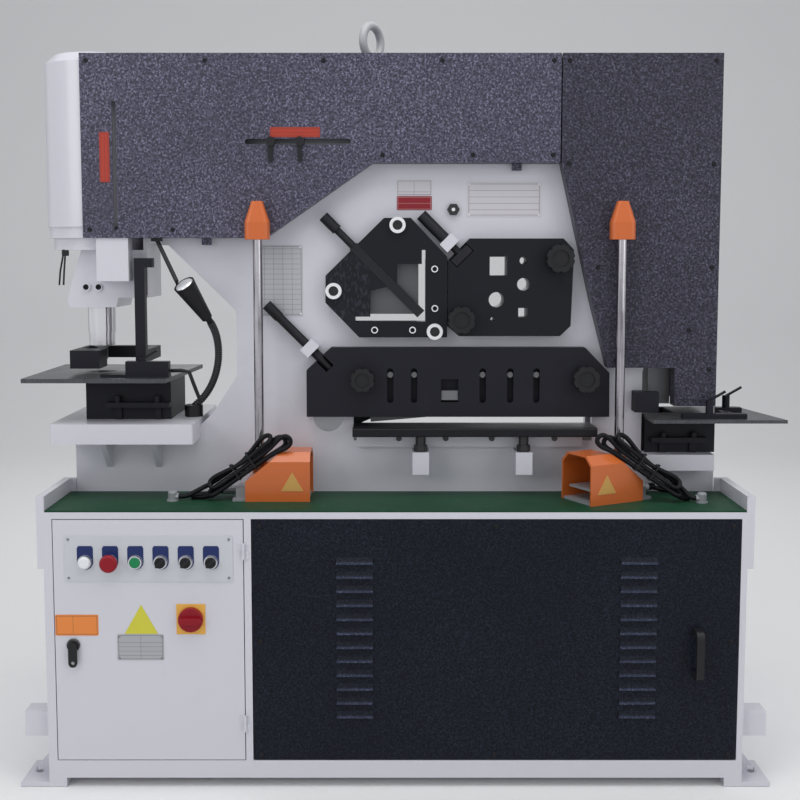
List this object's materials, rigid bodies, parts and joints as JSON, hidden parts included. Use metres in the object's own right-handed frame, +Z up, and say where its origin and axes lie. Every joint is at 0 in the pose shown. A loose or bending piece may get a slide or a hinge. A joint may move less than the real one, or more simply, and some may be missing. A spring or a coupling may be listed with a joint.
{
  "type": "punching and shearing machine",
  "caption": "Dual cylinder hydraulic ironworker on a cabinet base: punch station, angle, section and flat bar shears on a rocking beam, notcher, work tables and foot switches",
  "frame": {"origin": "on the floor, at the middle of the base cabinet and of its four anchor bolt holes", "axes": "+X to the right seen from the operator's side, +Y to the back, +Z up"},
  "size_m": [1.775, 0.736, 1.7665],
  "materials": {
    "white_paint": "gloss",
    "charcoal_paint": "textured",
    "black_steel": "satin",
    "ground_steel": "ground",
    "bright_steel": "polished",
    "black_plastic": "matt",
    "panel_fittings": "satin",
    "red_plastic": "gloss",
    "green_plastic": "gloss",
    "green_rubber": "matt",
    "orange_paint": "gloss",
    "grey_cast": "satin",
    "black_rubber": "matt"
  },
  "bodies": {
    "machine": {"angle_shear_plate": "black_steel", "beam_pivot_pin": "ground_steel", "bow_handle": "black_plastic", "cabinet_frame": "white_paint", "cabinet_shell": "white_paint", "control_backplate": "panel_fittings", "die_blocks": "black_steel", "fixed_blades": "ground_steel", "flat_shear_housing": "black_steel", "front_frame_plate": "white_paint", "front_panel": "charcoal_paint", "green_mat": "green_rubber", "left_cable_hank": "black_rubber", "lifting_eye": "bright_steel", "main_cover": "charcoal_paint", "plate_bolts": "ground_steel", "power_unit": "grey_cast", "punch_cylinder": "white_paint", "punch_head": "white_paint", "rear_frame_plate": "white_paint", "right_cable_hank": "black_rubber", "right_cable_lead": "black_rubber", "right_cover": "charcoal_paint", "section_shear_plate": "black_steel", "shear_cylinder": "grey_cast", "stripper": "black_steel", "support_blocks": "white_paint", "switch_bases": "grey_cast", "switch_hoods": "orange_paint", "switch_poles": "bright_steel", "table_saddles": "white_paint", "work_lamp": "black_plastic", "work_tables": "ground_steel"},
    "punch_ram": {"punch_ram": "bright_steel", "punch_tool": "ground_steel"},
    "shear_beam": {"shear_beam": "black_steel", "moving_blades": "ground_steel"},
    "shear_rod": {"shear_rod": "bright_steel"},
    "angle_clamp": {"angle_clamp": "black_steel"},
    "section_clamp": {"section_clamp": "black_steel"},
    "flat_clamp": {"flat_clamp": "black_steel"},
    "section_knob_upper": {"section_knob_upper": "black_plastic"},
    "section_knob_lower": {"section_knob_lower": "black_plastic"},
    "flat_knob_left": {"flat_knob_left": "black_plastic"},
    "flat_knob_right": {"flat_knob_right": "black_plastic"},
    "control_door": {"control_door": "white_paint", "door_fittings": "panel_fittings"},
    "lock_key": {"lock_key": "bright_steel"},
    "isolator_knob": {"isolator_knob": "red_plastic"},
    "selector_a": {"selector_a": "black_plastic"},
    "selector_b": {"selector_b": "black_plastic"},
    "selector_c": {"selector_c": "black_plastic"},
    "stop_button": {"stop_button": "red_plastic"},
    "start_button": {"start_button": "green_plastic"},
    "left_pedal": {"left_pedal": "grey_cast"},
    "right_pedal": {"right_pedal": "grey_cast"},
    "stop_pin_a": {"stop_pin_a": "black_plastic"},
    "stop_pin_b": {"stop_pin_b": "black_plastic"},
    "punch_gauge": {"punch_gauge": "black_steel"},
    "notch_gauge": {"notch_gauge": "black_steel"}
  },
  "joints": [
    {"name": "ram_stroke", "type": "slide", "parent": "machine", "child": "punch_ram", "axis": [0, 0, -1], "range_m": [0, 0.06]},
    {"name": "beam_rock", "type": "hinge", "parent": "machine", "child": "shear_beam", "pos_m": [-0.162, -0.05, 0.822], "axis": [0, 1, 0], "range_deg": [0, 5]},
    {"name": "shear_rod_stroke", "type": "slide", "parent": "machine", "child": "shear_rod", "axis": [0, 0, -1], "range_m": [0, 0.064]},
    {"name": "angle_clamp_travel", "type": "slide", "parent": "machine", "child": "angle_clamp", "axis": [-0.7071, 0, 0.7071], "range_m": [0, 0.02]},
    {"name": "section_clamp_travel", "type": "slide", "parent": "machine", "child": "section_clamp", "axis": [-0.7071, 0, 0.7071], "range_m": [0, 0.018]},
    {"name": "flat_clamp_travel", "type": "slide", "parent": "machine", "child": "flat_clamp", "axis": [-0.7071, 0, 0.7071], "range_m": [0, 0.03]},
    {"name": "section_knob_upper_turn", "type": "hinge", "parent": "machine", "child": "section_knob_upper", "pos_m": [0.385, -0.176, 1.201], "axis": [0, 1, 0], "range_deg": [-180, 180]},
    {"name": "section_knob_lower_turn", "type": "hinge", "parent": "machine", "child": "section_knob_lower", "pos_m": [0.155, -0.176, 1.057], "axis": [0, 1, 0], "range_deg": [-180, 180]},
    {"name": "flat_knob_left_turn", "type": "hinge", "parent": "machine", "child": "flat_knob_left", "pos_m": [-0.078, -0.181, 0.916], "axis": [0, 1, 0], "range_deg": [-180, 180]},
    {"name": "flat_knob_right_turn", "type": "hinge", "parent": "machine", "child": "flat_knob_right", "pos_m": [0.449, -0.181, 0.918], "axis": [0, 1, 0], "range_deg": [-180, 180]},
    {"name": "door_swing", "type": "hinge", "parent": "machine", "child": "control_door", "pos_m": [-0.341, -0.3546, 0.34], "axis": [0, 0, 1], "range_deg": [0, 110]},
    {"name": "key_turn", "type": "hinge", "parent": "control_door", "child": "lock_key", "pos_m": [-0.727, -0.358, 0.332], "axis": [0, 1, 0], "range_deg": [0, 90]},
    {"name": "isolator_turn", "type": "hinge", "parent": "control_door", "child": "isolator_knob", "pos_m": [-0.461, -0.362, 0.392], "axis": [0, 1, 0], "range_deg": [0, 90]},
    {"name": "selector_a_turn", "type": "hinge", "parent": "control_door", "child": "selector_a", "pos_m": [-0.5265, -0.362, 0.524], "axis": [0, 1, 0], "range_deg": [-45, 45]},
    {"name": "selector_b_turn", "type": "hinge", "parent": "control_door", "child": "selector_b", "pos_m": [-0.47, -0.362, 0.524], "axis": [0, 1, 0], "range_deg": [-45, 45]},
    {"name": "selector_c_turn", "type": "hinge", "parent": "control_door", "child": "selector_c", "pos_m": [-0.4135, -0.362, 0.524], "axis": [0, 1, 0], "range_deg": [-45, 45]},
    {"name": "stop_press", "type": "slide", "parent": "control_door", "child": "stop_button", "axis": [0, 1, 0], "range_m": [0, 0.005], "stiffness_N_per_m": 1500},
    {"name": "start_press", "type": "slide", "parent": "control_door", "child": "start_button", "axis": [0, 1, 0], "range_m": [0, 0.003], "stiffness_N_per_m": 1000},
    {"name": "left_pedal_press", "type": "hinge", "parent": "machine", "child": "left_pedal", "pos_m": [-0.302, -0.198, 0.672], "axis": [0, 1, 0], "range_deg": [0, 12], "stiffness_Nm_per_rad": 8},
    {"name": "right_pedal_press", "type": "hinge", "parent": "machine", "child": "right_pedal", "pos_m": [0.50883, -0.21118, 0.672], "axis": [0.4695, -0.8829, 0], "range_deg": [0, 12], "stiffness_Nm_per_rad": 8},
    {"name": "stop_pin_a_travel", "type": "slide", "parent": "machine", "child": "stop_pin_a", "axis": [1, 0, 0], "range_m": [-0.045, 0.015]},
    {"name": "stop_pin_b_travel", "type": "slide", "parent": "machine", "child": "stop_pin_b", "axis": [1, 0, 0], "range_m": [-0.015, 0.09]},
    {"name": "punch_gauge_travel", "type": "slide", "parent": "machine", "child": "punch_gauge", "axis": [-1, 0, 0], "range_m": [0, 0.06]},
    {"name": "notch_gauge_travel", "type": "slide", "parent": "machine", "child": "notch_gauge", "axis": [1, 0, 0], "range_m": [0, 0.035]}
  ],
  "couplings": [
    {"joint": "shear_rod_stroke", "follows": "beam_rock", "m_per_rad": 0.72}
  ]
}
